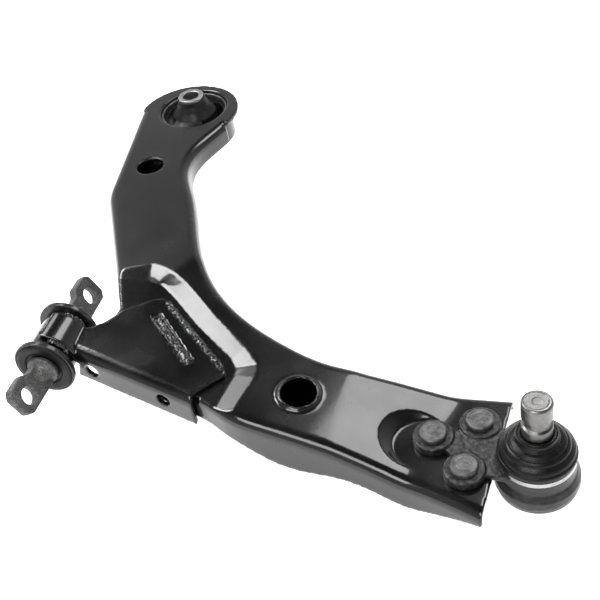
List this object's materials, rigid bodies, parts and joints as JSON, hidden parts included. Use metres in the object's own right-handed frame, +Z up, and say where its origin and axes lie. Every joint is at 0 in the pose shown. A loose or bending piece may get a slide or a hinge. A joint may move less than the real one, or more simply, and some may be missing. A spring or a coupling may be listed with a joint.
{
  "type": "suspension control arm",
  "caption": "Stamped steel lower control arm with a bar-pin front bushing, an upright rear bushing and a riveted ball joint.",
  "frame": {"origin": "centre of the front bushing, on the pivot axis", "axes": "+Y rearwards along the pivot axis through both bushings, +Z up along the rear bushing's bore and the ball stud, +X outboard to the ball joint"},
  "size_m": [0.4266, 0.4291, 0.0806],
  "materials": {
    "black_paint": "gloss black electro-coat",
    "weld": "glossy black over a rippled weld bead",
    "cup_steel": "satin black",
    "rubber": "dull moulded rubber",
    "boot_rubber": "satin moulded rubber",
    "forged_steel": "raw grey forging, shot blasted",
    "dark_forging": "dark phosphated forging",
    "sleeve_steel": "dull rolled steel",
    "bright_steel": "turned and polished",
    "rivet_steel": "zinc plated, pale grey",
    "seat_polymer": "natural acetal"
  },
  "bodies": {
    "arm": {"arm_stamping": "black_paint", "arm_lower_plate": "black_paint", "front_bracket": "black_paint", "bracket_edge_weld": "weld", "bracket_slot_weld": "weld", "tube_weld": "weld", "front_bush_tube": "black_paint", "front_bush_rear_cup": "cup_steel", "front_bush_front_cup": "cup_steel", "front_bush_rear_rubber": "rubber", "front_bush_front_rubber": "rubber", "rear_bush_outer_sleeve": "sleeve_steel", "rear_bush_rubber": "rubber", "ball_joint_housing": "dark_forging", "ball_joint_base_cap": "sleeve_steel", "ball_seat": "seat_polymer", "boot": "boot_rubber", "boot_lower_ring": "bright_steel", "ball_joint_rivets": "rivet_steel"},
    "bar_pin": {"bar_pin": "forged_steel"},
    "rear_sleeve": {"rear_bush_inner_sleeve": "bright_steel"},
    "tilt_race": {"seat_outer_race": "seat_polymer"},
    "swing_race": {"seat_inner_race": "seat_polymer", "boot_upper_ring": "bright_steel"},
    "stud": {"ball_stud": "bright_steel"}
  },
  "joints": [
    {"name": "bar_pin_twist", "type": "hinge", "parent": "arm", "child": "bar_pin", "pos_m": [0, 0, 0], "axis": [0, 1, 0], "range_deg": [-15, 15], "stiffness_Nm_per_rad": 60, "deforming": ["front_bush_rear_rubber", "front_bush_front_rubber"]},
    {"name": "rear_sleeve_tilt", "type": "hinge", "parent": "arm", "child": "rear_sleeve", "pos_m": [0, 0.307, 0], "axis": [0, 1, 0], "range_deg": [-15, 15], "deforming": ["rear_bush_rubber"]},
    {"name": "ball_tilt", "type": "hinge", "parent": "arm", "child": "tilt_race", "pos_m": [0.3484, -0.0332, -0.038], "axis": [0, 1, 0], "range_deg": [-18, 18], "deforming": ["boot"]},
    {"name": "ball_swing", "type": "hinge", "parent": "tilt_race", "child": "swing_race", "pos_m": [0.3484, -0.0332, -0.038], "axis": [1, 0, 0], "range_deg": [-18, 18]},
    {"name": "ball_spin", "type": "hinge", "parent": "swing_race", "child": "stud", "pos_m": [0.3484, -0.0332, -0.038], "axis": [0, 0, 1], "continuous": true}
  ],
  "couplings": [
    {"joint": "rear_sleeve_tilt", "follows": "bar_pin_twist", "ratio": 1}
  ]
}
